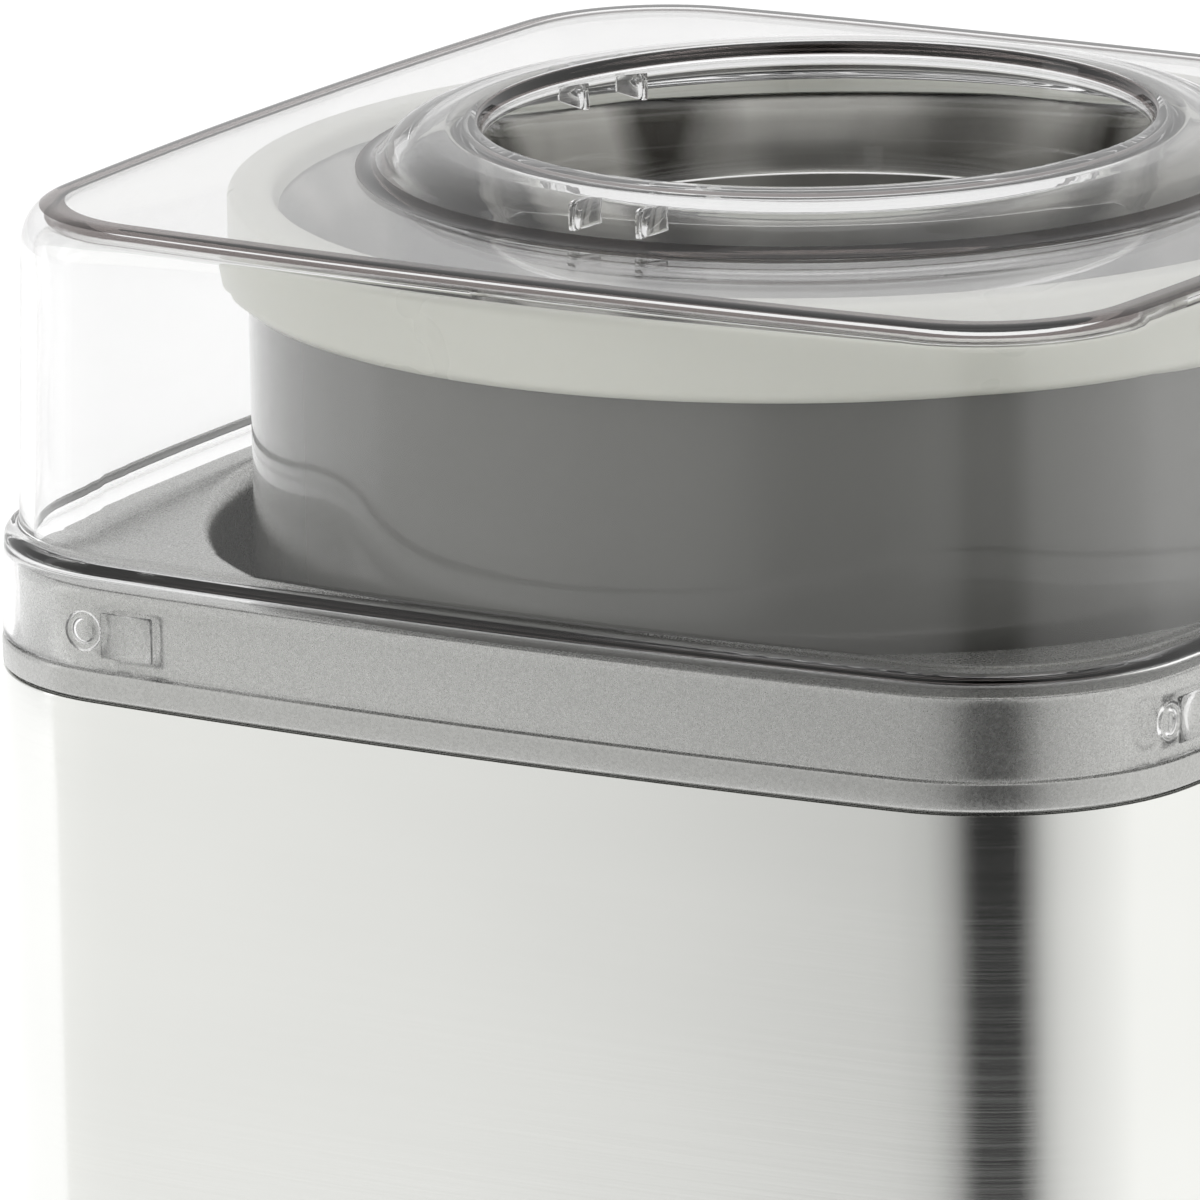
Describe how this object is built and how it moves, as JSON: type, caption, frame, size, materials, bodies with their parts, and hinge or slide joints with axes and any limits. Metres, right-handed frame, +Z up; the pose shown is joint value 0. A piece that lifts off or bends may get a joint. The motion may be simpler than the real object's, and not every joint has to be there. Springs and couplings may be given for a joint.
{
  "type": "ice cream maker",
  "caption": "Worktop ice cream maker: square brushed-steel housing, clear lid with a raised filling neck, chilled bowl that turns round a still mixing arm, front dial.",
  "frame": {"origin": "centre of the four feet on the surface it stands on, under the bowl's axis", "axes": "+Z up along the bowl's axis, -Y to the front face with the dial, +X to the right seen from the front"},
  "size_m": [0.2096, 0.2213, 0.2852],
  "materials": {
    "stainless": "fine horizontal brush",
    "silver_paint": "fine metallic flake on a moulding",
    "well_grey": "smooth moulded grey",
    "base_black": "fine moulded texture",
    "rubber": "matte",
    "zinc_steel": "bright zinc plate",
    "case_white": "moulded nylon",
    "gear_white": "moulded acetal",
    "steel_bar": "ground bar",
    "bronze": "sintered bearing",
    "seal_black": "satin",
    "hub_black": "glass filled",
    "lamination": "stamped sheets",
    "bobbin": "moulded",
    "copper": "enamelled wire",
    "rotor_steel": "turned",
    "fan_plastic": "moulded",
    "bowl_grey": "warm grey gloss",
    "bowl_aluminium": "spun, satin",
    "rim_cream": "pale cream satin",
    "gasket": "soft",
    "coolant": "frozen liquid",
    "arm_white": "food grade white",
    "clear": "clear moulding",
    "dial_silver": "satin silver",
    "pointer": "inlaid line",
    "bezel": "bright ring",
    "switch_plastic": "moulded",
    "terminal": "moulded"
  },
  "bodies": {
    "housing": {"steel_wrap": "stainless", "rear_panel": "stainless", "top_collar": "silver_paint", "bowl_well": "well_grey", "base_tray": "base_black", "rubber_feet": "rubber", "base_screws": "zinc_steel", "gearbox_case": "case_white", "gearbox_cover": "case_white", "gearbox_screws": "zinc_steel", "lay_pins": "steel_bar", "output_bush": "bronze", "shaft_seal": "seal_black", "motor_stator": "lamination", "coil_bobbin": "bobbin", "coil_winding": "copper", "motor_brackets": "zinc_steel", "motor_bushes": "bronze", "motor_spacers": "zinc_steel", "motor_bolts": "zinc_steel", "dial_bezel": "bezel", "switch_body": "switch_plastic", "switch_nut": "zinc_steel", "cord_bush": "rubber", "terminal_block": "terminal"},
    "drive": {"drive_hub": "hub_black", "output_shaft": "steel_bar", "output_wheel": "gear_white"},
    "wheel_two": {"second_wheel": "gear_white"},
    "wheel_one": {"first_wheel": "gear_white"},
    "rotor": {"motor_rotor": "rotor_steel", "rotor_shaft": "steel_bar", "cooling_fan": "fan_plastic"},
    "bowl": {"bowl_base": "bowl_grey", "bowl_shell": "bowl_grey", "bowl_liner": "bowl_aluminium", "bowl_rim": "rim_cream", "bowl_gasket": "gasket", "freezing_liquid": "coolant"},
    "bush": {"paddle_bush": "arm_white"},
    "arm": {"mixing_arm": "arm_white"},
    "lid": {"clear_lid": "clear"},
    "dial": {"dial_knob": "dial_silver", "dial_pointer": "pointer", "switch_shaft": "switch_plastic"}
  },
  "joints": [
    {"name": "drive_spin", "type": "hinge", "parent": "housing", "child": "drive", "pos_m": [0, 0, 0.1], "axis": [0, 0, 1], "continuous": true},
    {"name": "second_wheel_spin", "type": "hinge", "parent": "housing", "child": "wheel_two", "pos_m": [-0.02546, 0.02546, 0.08], "axis": [0, 0, 1], "continuous": true},
    {"name": "first_wheel_spin", "type": "hinge", "parent": "housing", "child": "wheel_one", "pos_m": [-0.0504, 0.01106, 0.075], "axis": [0, 0, 1], "continuous": true},
    {"name": "motor_spin", "type": "hinge", "parent": "housing", "child": "rotor", "pos_m": [-0.0384, -0.00973, 0.04], "axis": [0, 0, 1], "continuous": true},
    {"name": "bowl_lift", "type": "slide", "parent": "drive", "child": "bowl", "axis": [0, 0, 1], "range_m": [0, 0.12]},
    {"name": "arm_hold", "type": "hinge", "parent": "bowl", "child": "bush", "pos_m": [0, 0, 0.137], "axis": [0, 0, 1], "continuous": true},
    {"name": "arm_lift", "type": "slide", "parent": "bush", "child": "arm", "axis": [0, 0, 1], "range_m": [0, 0.145]},
    {"name": "lid_lift", "type": "slide", "parent": "arm", "child": "lid", "axis": [0, 0, 1], "range_m": [0, 0.08]},
    {"name": "dial_turn", "type": "hinge", "parent": "housing", "child": "dial", "pos_m": [0, -0.11, 0.056], "axis": [0, 1, 0], "range_deg": [0, 90]}
  ],
  "couplings": [
    {"joint": "second_wheel_spin", "follows": "drive_spin", "ratio": -5},
    {"joint": "first_wheel_spin", "follows": "drive_spin", "ratio": 25},
    {"joint": "motor_spin", "follows": "drive_spin", "ratio": -100},
    {"joint": "arm_hold", "follows": "drive_spin", "ratio": -1}
  ]
}
